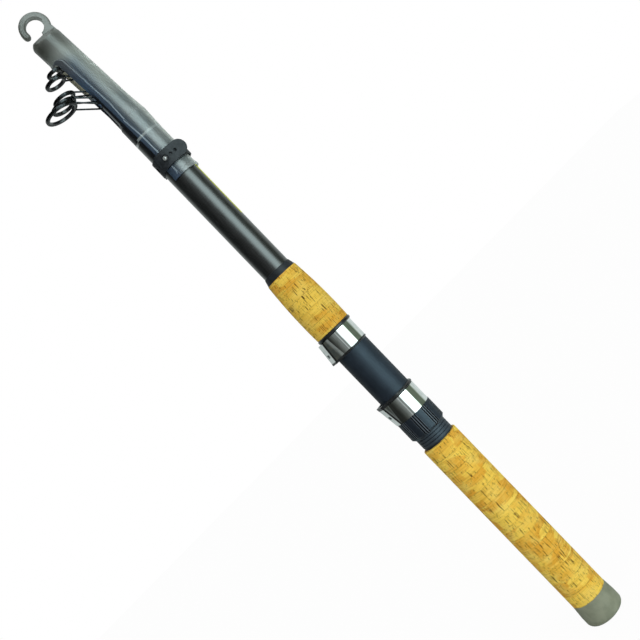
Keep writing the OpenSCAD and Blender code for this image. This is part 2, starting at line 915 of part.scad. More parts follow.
// The hook, bent round its eye and standing on the cover's end
module hook() {
    eye_r = hook_eye_d / 2;
    stem_foot = -84;
    rotate([90, 0, 0]) {
        translate([hook_shift, hook_v, 0]) {
            rotate([0, 0, stem_foot])
                rotate_extrude(angle = hook_end - stem_foot)
                    hook_section(eye_r, 0);
            rotate([0, 0, hook_end])
                translate([hook_mid, 0, 0])
                    rotate_extrude()
                        intersection() {
                            hook_section(-hook_band / 2, run_gap);
                            translate([0, -hook_t]) square(2 * hook_t);
                        }
        }
        linear_extrude(hook_t, center = true)
            difference() {
                polygon([
                    [hook_shift + eye_r * cos(stem_foot), tube_l - 2 * end_wall],
                    [tube_r - end_wall / 2, tube_l - end_round],
                    [hook_shift + eye_r + hook_band / 2, hook_v],
                    [hook_shift, hook_v]
                ]);
                translate([hook_shift, hook_v]) circle(eye_r);
            }
    }
}

module tip_cover() {
    color("#8f9a98")
        rotate([0, 0, -cover_turn])
            difference() {
                union() {
                    cover_skin(0);
                    intersection() {
                        cover_skin(slot_rim_t);
                        guide_side_prism(2 * tube_r) slot_outline(slot_rim_w);
                    }
                    leaning() hook();
                }
                translate([0, 0, z_rim - lap]) cylinder(r = skirt_in, h = z_ledge - z_rim + lap);
                cylinder(r = shoulder_in, h = z_lean + lap);
                leaning()
                    intersection() {
                        translate([0, 0, -lap]) cylinder(r = tube_in, h = tube_l - 3 * end_rise + lap);
                        end_roof(end_wall / cos(end_slope));
                    }
                guide_side_prism(2 * tube_r) slot_outline(0);
            }
}

// Strap

module strap_band() {
    z_end = z_strap + strap_w;
    step = strap_t / 2;
    from = slot_mid + slot_turn - riser_turn;
    to = slot_mid - slot_turn + riser_turn;
    color("#2d3237")
        difference() {
            union() {
                tube_arc(strap_out, strap_in, z_strap, z_end, from + 1, to + 359);
                tube_arc(strap_out - step, blank_r + step, z_strap, z_end, from, from + riser_turn - 1);
                tube_arc(strap_out - step, blank_r + step, z_strap, z_end, to - riser_turn + 1, to);
                tube_arc(blank_r + strap_t, blank_r, z_strap, z_end, to - riser_turn, from + riser_turn);
            }
            radial(180, z_strap + strap_w / 2) cylinder(d = pad_hole_d, h = 2 * blank_r);
        }
}

module strap_peg() {
    z = z_strap + strap_w / 2;
    color("#8a8d8f")
        difference() {
            union() {
                radial(peg_at, z) cylinder(d = peg_d, h = tab_out + peg_over);
                radial(peg_at, z)
                    translate([0, 0, tab_out + peg_over - peg_d / 2])
                        sphere(d = peg_d + 2 * run_gap);
            }
            cylinder(r = strap_out, h = z_strap + 2 * strap_w);
        }
}

module strap_tab() {
    z = z_strap + strap_w / 2;
    root_r = (tab_in + tab_out) / 2;
    root_d = 0.9 * tab_t;
    end_r = strap_w / 2;
    color("#2d3237")
        difference() {
            union() {
                tube_arc(tab_out, tab_in, z_strap, z_strap + strap_w, tab_from, tab_to);
                translate([root_r * cos(tab_from), root_r * sin(tab_from), z_strap])
                    cylinder(d = root_d, h = strap_w);
                rotate([0, 0, tab_to])
                    translate([tab_in, 0, z])
                        rotate([90, 0, 90])
                            linear_extrude(tab_t) {
                                translate([0, -end_r]) square([tab_flat_l - end_r, strap_w]);
                                translate([tab_flat_l - end_r, 0]) circle(end_r);
                            }
            }
            radial(peg_at, z) translate([0, 0, blank_r]) cylinder(d = peg_hole_d, h = blank_r);
            radial(spare_at, z) translate([0, 0, blank_r]) cylinder(d = spare_hole_d, h = blank_r);
            radial(tab_to, z) translate([0, spare_step, blank_r]) cylinder(d = spare_hole_d, h = blank_r);
        }
}

butt_cap();
butt_plug();
plug_cushion();
butt_section();
mouth_ring();
rear_grip();
reel_seat();
fixed_hood_core();
fixed_hood_shell();
trim_ring();
fore_grip();
winding_check();
hood_carrier();
hood_shell();
locking_nut();
section(1);  // section_2
stop_collar();
guide_frame(1);  // guide_2_frame
guide_ring(1);  // guide_2_ring
section(2);  // section_3
guide_frame(2);  // guide_3_frame
guide_ring(2);  // guide_3_ring
section(3);  // section_4
guide_frame(3);  // guide_4_frame
guide_ring(3);  // guide_4_ring
section(4);  // section_5
guide_frame(4);  // guide_5_frame
guide_ring(4);  // guide_5_ring
section(5);  // section_6
guide_frame(5);  // guide_6_frame
guide_ring(5);  // guide_6_ring
tip_cover();
strap_band();
strap_peg();
strap_tab();
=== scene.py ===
import math

import bpy
from mathutils import Matrix, Vector


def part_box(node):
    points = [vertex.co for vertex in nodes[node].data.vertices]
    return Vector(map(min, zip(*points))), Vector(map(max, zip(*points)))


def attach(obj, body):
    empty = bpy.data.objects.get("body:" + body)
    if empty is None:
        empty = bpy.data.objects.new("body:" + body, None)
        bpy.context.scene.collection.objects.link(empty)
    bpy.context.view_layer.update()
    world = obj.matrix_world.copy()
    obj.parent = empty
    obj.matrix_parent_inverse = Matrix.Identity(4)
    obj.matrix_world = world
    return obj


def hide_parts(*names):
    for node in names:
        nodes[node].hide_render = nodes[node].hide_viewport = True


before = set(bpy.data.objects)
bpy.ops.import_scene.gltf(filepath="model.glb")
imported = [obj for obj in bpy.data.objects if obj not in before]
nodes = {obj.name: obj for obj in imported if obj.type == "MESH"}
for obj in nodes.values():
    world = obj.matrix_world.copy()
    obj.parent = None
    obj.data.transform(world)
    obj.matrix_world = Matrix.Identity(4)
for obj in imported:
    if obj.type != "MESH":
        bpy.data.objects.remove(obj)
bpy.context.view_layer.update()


# Butt cap: a moulded cup of olive grey rubber over the rear end of the rod.
# It is pushed over the butt section and closes against the first cork ring.
class Value:
    """A socket of a node tree that takes part in sums."""

    def __init__(self, tree, socket):
        self.tree = tree
        self.socket = socket

    def add(self, kind, settings, *values, out=None, **named):
        """Add a node: settings first, then values in order or by input name."""
        node = self.tree.nodes.new(kind)
        for key, setting in settings.items():
            setattr(node, key, setting)
        inputs = [s for s in node.inputs if s.enabled]
        pairs = list(zip(inputs, values))
        for key, value in named.items():
            name = key.replace("_", " ")
            pairs.append((next(s for s in inputs if s.name == name), value))
        for socket, value in pairs:
            if isinstance(value, Value):
                self.tree.links.new(value.socket, socket)
            else:
                socket.default_value = value
        result = next(s for s in node.outputs if s.enabled and out in (None, s.name))
        return Value(self.tree, result)

    def sum(self, operation, *values):
        return self.add("ShaderNodeMath", {"operation": operation}, *values)

    def __add__(self, other):
        return self.sum("ADD", self, other)

    def __radd__(self, other):
        return self.sum("ADD", other, self)

    def __sub__(self, other):
        return self.sum("SUBTRACT", self, other)

    def __rsub__(self, other):
        return self.sum("SUBTRACT", other, self)

    def __mul__(self, other):
        return self.sum("MULTIPLY", self, other)

    def __rmul__(self, other):
        return self.sum("MULTIPLY", other, self)

    def __truediv__(self, other):
        return self.sum("DIVIDE", self, other)

    def __rtruediv__(self, other):
        return self.sum("DIVIDE", other, self)

    def __abs__(self):
        return self.sum("ABSOLUTE", self)

    def __floor__(self):
        return self.sum("FLOOR", self)

    def parts(self):
        """The x, y and z of a place, or the three parts of a colour."""
        split = self.add("ShaderNodeSeparateXYZ", {}, self).socket.node
        return [Value(self.tree, socket) for socket in split.outputs]


def stretched(place, x, y, z):
    return place.add("ShaderNodeVectorMath", {"operation": "MULTIPLY"}, place, (x, y, z))


def in_millimetres(place):
    return stretched(place, 1000, 1000, 1000)


def noise(place, scale, detail=2.0):
    return place.add("ShaderNodeTexNoise", {}, Vector=place, Scale=scale, Detail=detail, out="Fac")


def ramp(value, low, high, at_low=0.0, at_high=1.0):
    """A smooth step from at_low, where the value is low, to at_high."""
    return value.add(
        "ShaderNodeMapRange", {"interpolation_type": "SMOOTHSTEP"},
        Value=value, From_Min=low, From_Max=high, To_Min=at_low, To_Max=at_high)


def spread(cloud, at_low=0.0, at_high=1.0):
    """A noise, most of which lies from 0.3 to 0.7, spread over another range."""
    return ramp(cloud, 0.3, 0.7, at_low, at_high)


def mixed(factor, first, second):
    return factor.add("ShaderNodeMix", {"data_type": "RGBA"}, Factor=factor, A=first, B=second)


def connect(value, socket):
    value.tree.links.new(value.socket, socket)


def finish(name, **constants):
    """A material, the inputs of its shader, and the place on the piece in millimetres."""
    material = bpy.data.materials.new(name)
    material.use_nodes = True
    tree = material.node_tree
    shader = tree.nodes["Principled BSDF"]
    for key, value in constants.items():
        shader.inputs[key.replace("_", " ")].default_value = value
    point = Value(tree, tree.nodes.new("ShaderNodeTexCoord").outputs["Object"])
    return material, shader.inputs, in_millimetres(point)


def relief(height, strength, shader):
    """Bumps of up to 0.2 mm in a finish."""
    bump = height.add("ShaderNodeBump", {}, Strength=strength, Distance=0.0002, Height=height)
    connect(bump, shader["Normal"])


def dress(material, *names):
    for name in names:
        for slot in nodes[name].material_slots:
            slot.material = material


dark_olive = (0.195, 0.217, 0.155, 1)
light_olive = (0.255, 0.280, 0.205, 1)
dusty_olive = (0.31, 0.335, 0.26, 1)
rubber, shader, place = finish("butt_rubber_finish", Specular_IOR_Level=0.35)
cloud = noise(place, 0.12, 4)
grit = noise(place, 2.5, 3)
stain = mixed(ramp(cloud, 0.35, 0.65), dark_olive, light_olive)
connect(mixed(ramp(grit, 0.45, 0.7, 0, 0.35), stain, dusty_olive), shader["Base Color"])
connect(spread(grit, 0.62, 0.82), shader["Roughness"])
relief(grit, 0.25, shader)
dress(rubber, "butt_cap")

# Butt plug and cushion: a black plastic plug in the end of the butt section,
# with a soft rubber pad on it that the inner sections drop onto.
deep_black = (0.010, 0.011, 0.012, 1)
worn_black = (0.022, 0.024, 0.026, 1)
plastic, shader, place = finish("black_plastic_finish", Specular_IOR_Level=0.32)
cloud = noise(place, 0.3, 4)
fine = noise(stretched(place, 1, 1, 0.2), 3.0)
connect(mixed(spread(cloud), deep_black, worn_black), shader["Base Color"])
connect(spread(fine, 0.16, 0.28), shader["Roughness"])
dress(plastic, "butt_plug")

pad_black = (0.02, 0.02, 0.02, 1)
pad_grey = (0.05, 0.05, 0.05, 1)
pad, shader, place = finish("soft_rubber_finish")
cloud = noise(place, 0.6, 4)
connect(mixed(cloud, pad_black, pad_grey), shader["Base Color"])
connect(spread(cloud, 0.7, 0.9), shader["Roughness"])
dress(pad, "plug_cushion")


# Butt section: the outermost carbon tube, glossy black over a faint spiral of
# wrapping tape, with a lime stripe near its front. The whole handle is glued onto it.
def reach(node):
    """A CAD node's lowest and highest point and, if it is round, its radius, in millimetres."""
    low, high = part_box(node)
    return [round(size * 1000, 3) for size in (low.z, high.z, high.x)]


def between(value, start, full, until, gone):
    """0 up to start, 1 from full to until, and 0 again from gone on."""
    return ramp(value, start, full) * ramp(value, until, gone, 1, 0)


def from_axis(place):
    """How far a place is from the rod's axis."""
    level = stretched(place, 1, 1, 0)
    return place.add("ShaderNodeVectorMath", {"operation": "LENGTH"}, level, out="Value")


_, mouth_z, blank_r = reach("butt_section")
tape_width = 1.5
stripe_start = -42
stripe_end = -8
stripe_low = 368.6
tube_black = (0.004, 0.005, 0.005, 1)
tube_grey = (0.010, 0.011, 0.012, 1)
tape_edge = (0.014, 0.016, 0.017, 1)
lime = (0.56, 0.60, 0.02, 1)
carbon, shader, place = finish("carbon_finish", Coat_Roughness=0.30)
x, y, z = place.parts()
turn = place.sum("ARCTAN2", y, x) / (2 * math.pi)
tape = z / tape_width + turn
wrap = between(tape - math.floor(tape), 0.0, 0.35, 0.65, 1.0)
cloud = noise(stretched(place, 1, 1, 0.15), 0.8, 4)
stripe = between(turn * 360, stripe_start, stripe_start + 1, stripe_end - 1, stripe_end)
stripe = stripe * ramp(z, stripe_low, stripe_low + 0.6)
stripe = stripe * ramp(from_axis(place), blank_r - 0.3, blank_r - 0.15)
tone = mixed(ramp(cloud, 0.3, 0.75), tube_black, tube_grey)
tone = mixed(wrap, tape_edge, tone)
connect(mixed(stripe, tone, lime), shader["Base Color"])
connect(spread(cloud, 0.28, 0.38) + stripe * 0.3, shader["Roughness"])
connect(ramp(cloud, 0.2, 0.8, 0.75, 1.0) * (1 - stripe), shader["Coat Weight"])
relief(wrap, 0.06, shader)
dress(carbon, "butt_section")

# Mouth ring: a bare aluminium ring let into the front end of the butt section,
# where the second section jams when it is drawn.
dull_alloy = (0.55, 0.56, 0.57, 1)
bright_alloy = (0.74, 0.75, 0.76, 1)
alloy, shader, place = finish("aluminium_finish", Metallic=1.0)
lathe = noise(stretched(place, 0.2, 0.2, 6), 1.0, 3)
connect(mixed(lathe, dull_alloy, bright_alloy), shader["Base Color"])
connect(spread(lathe, 0.24, 0.42), shader["Roughness"])
dress(alloy, "mouth_ring")


# Rear grip: fourteen rings of natural cork glued onto the butt section and turned
# to one diameter, with pits, grain lines and fine seams between the rings.
glue_line = 0.05
skin_bore = blank_r + glue_line


def unrolled(place, start, ring_l):
    """A grip's surface laid flat, each ring set apart, and the place within its ring."""
    roll_r = 14
    ring_shift = 31.7
    x, y, z = place.parts()
    arc = place.sum("ARCTAN2", x, y * -1) * roll_r
    along = (z - start) / ring_l
    ring = math.floor(along)
    flat = place.add("ShaderNodeCombineXYZ", {}, arc, z, ring * ring_shift)
    return flat, along - ring


def cork_marks(flat, into):
    """The dark marks of cork: grain lines, round pits, and seams between the rings."""
    crowd = noise(flat, 0.10, 2)
    streak = noise(stretched(flat, 1.5, 0.10, 1), 1.0, 2)
    short = noise(stretched(flat, 1.9, 0.30, 2), 1.0, 2)
    long_line = ramp(streak, 0.60, 0.64) * ramp(crowd, 0.40, 0.56)
    short_line = ramp(short, 0.625, 0.66) * ramp(crowd, 0.42, 0.58, 1, 0)
    spots = flat.add(
        "ShaderNodeTexVoronoi", {},
        Vector=stretched(flat, 0.42, 0.42, 1), Scale=1.0, out="Distance")
    pit = ramp(spots, 0.10, 0.17, 1, 0) * ramp(noise(flat, 0.16, 1), 0.49, 0.55)
    joint = ramp(into, 0.0, 0.028, 1, 0) + ramp(into, 0.972, 1.0)
    seam = joint * ramp(noise(flat, 0.22, 2), 0.40, 0.62)
    return long_line + short_line, pit, seam


def cork_finish(name, start, ring_l, age):
    """Cork in patches of gold and amber, the browner the more it has aged."""
    gold = (0.96, 0.68, 0.105, 1)
    amber = (0.80, 0.42, 0.046, 1)
    straw = (0.92, 0.69, 0.145, 1)
    brown_grain = (0.56, 0.30, 0.034, 1)
    light_grain = (0.98, 0.77, 0.19, 1)
    aged_brown = (0.40, 0.21, 0.02, 1)
    line_brown = (0.07, 0.028, 0.008, 1)
    seam_brown = (0.13, 0.055, 0.012, 1)
    pit_brown = (0.045, 0.018, 0.008, 1)
    material, shader, place = finish(name, Specular_IOR_Level=0.06)
    flat, into = unrolled(place, start, ring_l)
    line, pit, seam = cork_marks(flat, into)
    cells = flat.add(
        "ShaderNodeTexVoronoi", {"distance": "CHEBYCHEV"},
        Vector=stretched(flat, 0.085, 0.17, 1), Scale=1.0, Randomness=0.75, out="Color")
    patch = cells.parts()[0]
    grain = noise(stretched(flat, 0.06, 2.0, 1), 1.0, 3)
    pale = noise(place, 0.09, 2)
    body = mixed(ramp(patch, 0.15, 0.85), gold, amber)
    body = mixed(ramp(pale, 0.45, 0.7, 0, 0.75), body, straw)
    body = mixed(ramp(grain, 0.45, 0.70, 0, 0.50), body, brown_grain)
    body = mixed(ramp(grain, 0.28, 0.46, 0.45, 0), body, light_grain)
    body = mixed(ramp(pale, 0.2, 0.8, age, age * 0.8), body, aged_brown)
    body = mixed(line * 0.95, body, line_brown)
    body = mixed(seam * 0.75, body, seam_brown)
    connect(mixed(pit * 0.95, body, pit_brown), shader["Base Color"])
    connect(spread(grain, 0.55, 0.78), shader["Roughness"])
    relief(grain, 0.2, shader)
    return material


def turned(name, profile, around):
    """A closed profile of (radius, height) in millimetres, turned round the rod's axis."""
    points = []
    faces = []
    count = len(profile)
    outline = [(r / 1000, h / 1000) for r, h in profile]
    for k in range(around):
        a = 2 * math.pi * k / around
        after = (k + 1) % around
        points += [(r * math.cos(a), r * math.sin(a), h) for r, h in outline]
        for i in range(count):
            j = (i + 1) % count
            faces.append((k * count + j, after * count + j, after * count + i, k * count + i))
    mesh = bpy.data.meshes.new(name)
    mesh.from_pydata(points, [], faces)
    mesh.update()
    piece = bpy.data.objects.new(name, mesh)
    bpy.context.scene.collection.objects.link(piece)
    return piece


def tree_with(name, **inputs):
    """A Geometry Nodes tree, its named inputs as values, and the socket of its result."""
    tree = bpy.data.node_groups.new(name, "GeometryNodeTree")
    sockets = tree.interface
    sockets.new_socket("Geometry", in_out="INPUT", socket_type="NodeSocketGeometry")
    for key, kind in inputs.items():
        sockets.new_socket(key.replace("_", " "), in_out="INPUT", socket_type="NodeSocket" + kind)
    sockets.new_socket("Geometry", in_out="OUTPUT", socket_type="NodeSocketGeometry")
    start = tree.nodes.new("NodeGroupInput")
    end = tree.nodes.new("NodeGroupOutput")
    return tree, {s.name: Value(tree, s) for s in start.outputs}, end.inputs[0]


def close_tree(shape, material, end):
    """End a tree: make its instances real and give it its finish."""
    whole = shape.add("GeometryNodeRealizeInstances", {}, Geometry=shape)
    connect(whole.add("GeometryNodeSetMaterial", {}, Geometry=whole, Material=material), end)


def made(piece, tree, values):
    """Run a Geometry Nodes tree on a piece and keep the result as a plain mesh."""
    sharp_from = math.radians(40)
    modifier = piece.modifiers.new("nodes", "NODES")
    modifier.node_group = tree
    for item in tree.interface.items_tree:
        if item.item_type == "SOCKET" and item.in_out == "INPUT" and item.name in values:
            modifier[item.identifier] = values[item.name]
    bpy.context.view_layer.update()
    shaped = piece.evaluated_get(bpy.context.evaluated_depsgraph_get())
    mesh = bpy.data.meshes.new_from_object(shaped)
    piece.modifiers.clear()
    piece.data = mesh
    for face in mesh.polygons:
        face.use_smooth = True
    mesh.set_sharp_from_angle(angle=sharp_from)
    return piece


def cork_grip(name, start, end, rings, radius, age):
    """One grip: its rings as a fine turned skin, with pits and seams pressed in."""
    rows = 20
    around = 200
    ring_l = (end - start) / rings
    profile = [(skin_bore, start)]
    for k in range(rings):
        for i in range(rows + (k == rings - 1)):
            u = (k + i / rows) * ring_l
            profile.append((radius(u), start + u))
    profile.append((skin_bore, start + rings * ring_l))
    piece = turned(name, profile[::-1], around)
    tree, given, result = tree_with(
        name + "_pits", Pit_Depth="Float", Seam_Depth="Float", Finish="Material")
    point = Value(tree, tree.nodes.new("GeometryNodeInputPosition").outputs[0])
    line, pit, seam = cork_marks(*unrolled(in_millimetres(point), start, ring_l))
    depth = (line * 0.6 + pit) * given["Pit Depth"] + seam * given["Seam Depth"]
    outward = point.add(
        "ShaderNodeVectorMath", {"operation": "NORMALIZE"}, stretched(point, 1, 1, 0))
    inward = point.add(
        "ShaderNodeVectorMath", {"operation": "SCALE"}, Vector=outward, Scale=depth * -0.001)
    pressed = point.add("GeometryNodeSetPosition", {}, Geometry=given["Geometry"], Offset=inward)
    close_tree(pressed, given["Finish"], result)
    cork = cork_finish(name + "_cork", start, ring_l, age)
    return made(piece, tree, {"Pit Depth": 0.22, "Seam Depth": 0.15, "Finish": cork})


rear_low, _, rear_r = reach("rear_grip")
rear_high = reach("reel_seat")[0]
rear_rounding = 0.8


def rear_radius(u):
    rounding_from = rear_high - rear_low - rear_rounding
    return rear_r - rear_rounding * max(0, (u - rounding_from) / rear_rounding) ** 2


rear = cork_grip("rear_grip_skin", rear_low, rear_high, 14, rear_radius, 0.0)
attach(rear, "handle")
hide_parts("rear_grip")

# Reel seat: a tube of dark slate plastic glued over the butt section, smooth in
# front for the reel foot, with a coarse thread for the locking nut at the rear.
seat_low, seat_high, seat_r = reach("reel_seat")
thread_l = 40
thread_high = seat_low + thread_l
thread_floor_r = 12.0
thread_step_r = 12.25
thread_step_h = 0.4
thread_pitch = 2.3
thread_turns = 15.6
thread_start = seat_low + 1.5
tooth_middle_r = 12.15
tooth_height = 0.5
tooth_root = 2.2
tooth_crest = 1.5
thread_crest_r = tooth_middle_r + tooth_height / 2
blue_gleam = (0.70, 0.88, 1.0, 1)
dark_slate = (0.009, 0.013, 0.021, 1)
light_slate = (0.014, 0.020, 0.031, 1)
drawn_slate = (0.020, 0.029, 0.040, 1)
crest_highlight_slate = (0.034, 0.044, 0.055, 1)
slate, shader, place = finish(
    "seat_plastic_finish", Specular_IOR_Level=0.42, Specular_Tint=blue_gleam)
cloud = noise(place, 0.10, 3)
drawn = noise(stretched(place, 1, 1, 0.03), 3.0, 3)
tone = mixed(spread(cloud), dark_slate, light_slate)
tone = mixed(ramp(drawn, 0.45, 0.75, 0, 0.4), tone, drawn_slate)
# Painted highlight: the thread's crests are painted lighter, as light catching the ridges.
crest_highlight = between(
    from_axis(place), thread_crest_r - 0.2, thread_crest_r - 0.05,
    thread_crest_r + 0.05, thread_crest_r + 0.15)
connect(mixed(crest_highlight, tone, crest_highlight_slate), shader["Base Color"])
connect(spread(drawn, 0.50, 0.62), shader["Roughness"])

core = turned("reel_seat_skin", [
    (skin_bore, seat_low), (skin_bore, seat_high), (seat_r, seat_high),
    (seat_r, thread_high + thread_step_h), (thread_step_r, thread_high),
    (thread_floor_r, thread_high), (thread_floor_r, seat_low)], 128)
tree, given, result = tree_with(
    "helical_thread", Pitch="Float", Turns="Float", Start="Float", Radius="Float",
    Tooth_Height="Float", Root_Width="Float", Crest_Width="Float", Finish="Material")
pitch = given["Pitch"]
helix = pitch.add(
    "GeometryNodeCurveSpiral", {}, Resolution=96, Rotations=given["Turns"],
    Start_Radius=given["Radius"], End_Radius=given["Radius"], Height=pitch * given["Turns"])
helix = helix.add("GeometryNodeSetCurveNormal", {"mode": "Z_UP"}, Curve=helix)
tooth = pitch.add(
    "GeometryNodeCurvePrimitiveQuadrilateral", {"mode": "TRAPEZOID"}, Offset=0.0,
    Height=given["Tooth Height"], Bottom_Width=given["Root Width"], Top_Width=given["Crest Width"])
tooth = tooth.add("GeometryNodeTransform", {}, Geometry=tooth, Rotation=(0, 0, math.radians(90)))
ridge = helix.add("GeometryNodeCurveToMesh", {}, Curve=helix, Profile_Curve=tooth, Fill_Caps=True)
lift = pitch.add("ShaderNodeCombineXYZ", {}, Z=given["Start"])
ridge = ridge.add("GeometryNodeTransform", {}, Geometry=ridge, Translation=lift)
join = tree.nodes.new("GeometryNodeJoinGeometry")
connect(given["Geometry"], join.inputs[0])
connect(ridge, join.inputs[0])
close_tree(Value(tree, join.outputs[0]), given["Finish"], result)
seat = made(core, tree, {
    "Pitch": thread_pitch / 1000, "Turns": thread_turns, "Start": thread_start / 1000,
    "Radius": tooth_middle_r / 1000, "Tooth Height": tooth_height / 1000,
    "Root Width": tooth_root / 1000, "Crest Width": tooth_crest / 1000, "Finish": slate})
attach(seat, "handle")
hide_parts("reel_seat")

# Fixed hood: a chromed shell with a flat roofed pocket over a black plastic core.
# The core is glued to the seat and lines the pocket for the reel foot. The finish
# serves both hoods: painted reflections, dark with olive blotches, on a pocket's flanks,
# grey streaks of painted reflection elsewhere, and painted shade along the fold of its roof.
between_hoods = 230
sliding_fold = 4.4
fixed_fold = 5.1
bright_chrome = (0.88, 0.90, 0.89, 1)
hazy_chrome = (0.72, 0.75, 0.73, 1)
streak_reflection_grey = (0.46, 0.52, 0.51, 1)
flank_reflection_dark = (0.15, 0.17, 0.16, 1)
flank_reflection_olive = (0.26, 0.25, 0.20, 1)
fold_shade_black = (0.03, 0.03, 0.03, 1)
chrome, shader, place = finish("chrome_finish", Metallic=1.0)
x, y, z = place.parts()
away = abs(y)
flank = ramp(from_axis(place), 13.6, 14.6) * ramp(away, 4.6, 5.6) * ramp(x, -9.0, -6.5, 1, 0)
smear = noise(stretched(place, 1, 1, 0.25), 0.5, 4)
streak = noise(stretched(place, 1, 1, 0.10), 0.9, 3)
chrome_and_reflections = mixed(ramp(noise(place, 0.25, 4), 0.4, 0.75), bright_chrome, hazy_chrome)
# Painted reflection: grey streaks across the chrome.
chrome_and_reflections = mixed(ramp(streak, 0.52, 0.68, 0, 0.5), chrome_and_reflections, streak_reflection_grey)
# Painted reflection: the pocket's flanks are darker, with olive blotches, as reflections of dark
# surroundings.
flank_reflection = mixed(ramp(noise(place, 0.4, 4), 0.4, 0.65), flank_reflection_dark, flank_reflection_olive)
# Painted shade: a black line along the fold between a pocket's roof and its flank.
fold_shade = away - ramp(z, between_hoods - 5, between_hoods + 5, sliding_fold, fixed_fold)
fold_shade = between(fold_shade, -0.35, -0.1, 0.25, 0.5) * ramp(x, -12.5, -12.0, 1, 0)
chrome_and_reflections = mixed(flank * 0.92, chrome_and_reflections, flank_reflection)
connect(mixed(fold_shade * 0.9, chrome_and_reflections, fold_shade_black), shader["Base Color"])
connect(ramp(smear, 0.3, 0.75, 0.03, 0.09), shader["Roughness"])
dress(chrome, "fixed_hood_shell")
dress(plastic, "fixed_hood_core")

# Trim ring: a thin moulded ring of the same black plastic, glued onto the butt
# section, which covers the joint between the fixed hood and the fore grip.
dress(plastic, "trim_ring")

# Fore grip: five rings of cork glued onto the butt section and turned to a barrel
# that narrows towards the front. It is a little browner than the rear grip.
fore_low = reach("fore_grip")[0]
fore_high = reach("winding_check")[0]
fore_r = 14.1
fore_widest = 14
fore_taper = 1.7


def fore_radius(u):
    narrowing_l = fore_high - fore_low - fore_widest
    return fore_r - fore_taper * ((u - fore_widest) / narrowing_l) ** 2


fore = cork_grip("fore_grip_skin", fore_low, fore_high, 5, fore_radius, 0.23)
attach(fore, "handle")
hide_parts("fore_grip")

# Winding check: a matt black cone of rubbery plastic that closes the fore grip
# against the tube, glued to both.
check_black = (0.010, 0.012, 0.015, 1)
check_grey = (0.022, 0.026, 0.031, 1)
matt, shader, place = finish("winding_check_finish", Specular_IOR_Level=0.2)
cloud = noise(place, 0.5, 4)
connect(mixed(cloud, check_black, check_grey), shader["Base Color"])
connect(spread(cloud, 0.40, 0.52), shader["Roughness"])
dress(matt, "winding_check")

# Sliding hood: the second chromed shell, on a black carrier that slides on the
# seat and is pushed along by the nut.
dress(chrome, "hood_shell")
dress(plastic, "hood_carrier")

# Locking nut: moulded slate plastic with groups of three deep grooves for the
# fingers. It turns on the seat's thread and clamps the sliding hood.
groups = 9
group_turn = 360 / groups
half_groove_step = 3.37
groove_half = 1.6
nut_dark = (0.007, 0.010, 0.016, 1)
nut_light = (0.016, 0.022, 0.032, 1)
rib_highlight_slate = (0.085, 0.102, 0.12, 1)
groove_shade_black = (0.001, 0.001, 0.002, 1)
ridged, shader, place = finish(
    "nut_plastic_finish", Specular_IOR_Level=0.42, Specular_Tint=blue_gleam)
x, y, _ = place.parts()
turn = place.sum("ARCTAN2", y, x) * (groups / (2 * math.pi)) + 0.5
turn = abs((turn - math.floor(turn) - 0.5) * group_turn)
into = abs(abs(turn - half_groove_step) - half_groove_step)
# Painted shade and highlight: the grooves are painted black and made metallic, which keeps them
# dark, and the ribs between them are painted lighter, as light on their edges.
groove_shade = ramp(into, groove_half, groove_half + 0.3, 1, 0)
rib_highlight = ramp(turn, 9.4, 10.1, 1, 0) * ramp(into, groove_half + 0.2, groove_half + 0.5)
drawn = noise(stretched(place, 1, 1, 0.03), 3.0, 3)
tone = mixed(drawn, nut_dark, nut_light)
tone = mixed(rib_highlight, tone, rib_highlight_slate)
connect(mixed(groove_shade, tone, groove_shade_black), shader["Base Color"])
connect(spread(drawn, 0.44, 0.56), shader["Roughness"])
connect(groove_shade, shader["Metallic"])
dress(ridged, "locking_nut")

# Inner sections: five carbon tubes one inside the other, each with a guide at its
# tip, and a black plastic stop collar glued onto the second one.
inner = range(2, 7)
dress(carbon, *(f"section_{i}" for i in inner))
dress(plastic, "stop_collar")

# Guides: black plated wire frames, each glued onto a section's tip by a short tube,
# with a dark ceramic ring for the line set into it.
plated_black = (0.012, 0.013, 0.014, 1)
plated_grey = (0.045, 0.047, 0.050, 1)
wire, shader, place = finish("guide_frame_finish", Metallic=1.0)
cloud = noise(place, 0.9, 4)
connect(mixed(ramp(cloud, 0.35, 0.7), plated_black, plated_grey), shader["Base Color"])
connect(spread(cloud, 0.18, 0.34), shader["Roughness"])
dress(wire, *(f"guide_{i}_frame" for i in inner))

ceramic_black = (0.008, 0.009, 0.010, 1)
ceramic_grey = (0.020, 0.022, 0.026, 1)
ceramic, shader, place = finish("guide_ring_finish", Coat_Weight=0.25, Specular_IOR_Level=0.35)
cloud = noise(place, 0.7, 3)
connect(mixed(cloud, ceramic_black, ceramic_grey), shader["Base Color"])
connect(spread(cloud, 0.12, 0.24), shader["Roughness"])
dress(ceramic, *(f"guide_{i}_ring" for i in inner))

# Tip cover: a moulded cover of frosted, smoky plastic, open along the guides' side,
# with a hook at its end. It is pushed over the front of the rod and held by the strap.
cover_low = reach("tip_cover")[0]
cover_turn = math.radians(11)
shoulder_low = 455
shoulder_high = 468
slot_end = 528
line_from_axis = 3.4
border_from = 420
border_lean = 0.026
corner_r = 6.6
smoke_dark = (0.30, 0.375, 0.39, 1)
smoke_light = (0.38, 0.445, 0.45, 1)
skirt_grey = (0.58, 0.66, 0.66, 1)
upper_grey = (0.58, 0.66, 0.62, 1)
backlit_grey = (0.66, 0.74, 0.70, 1)
shade_blue = (0.07, 0.115, 0.165, 1)
end_shade = (0.10, 0.11, 0.095, 1)
end_lit = (0.225, 0.252, 0.235, 1)
border_blue = (0.075, 0.13, 0.21, 1)
border_grey = (0.12, 0.14, 0.165, 1)
backlit_olive = (0.36, 0.36, 0.27, 1)
slot_shade_black = (0.006, 0.008, 0.010, 1)
mouth_glint_white = (0.62, 0.72, 0.72, 1)
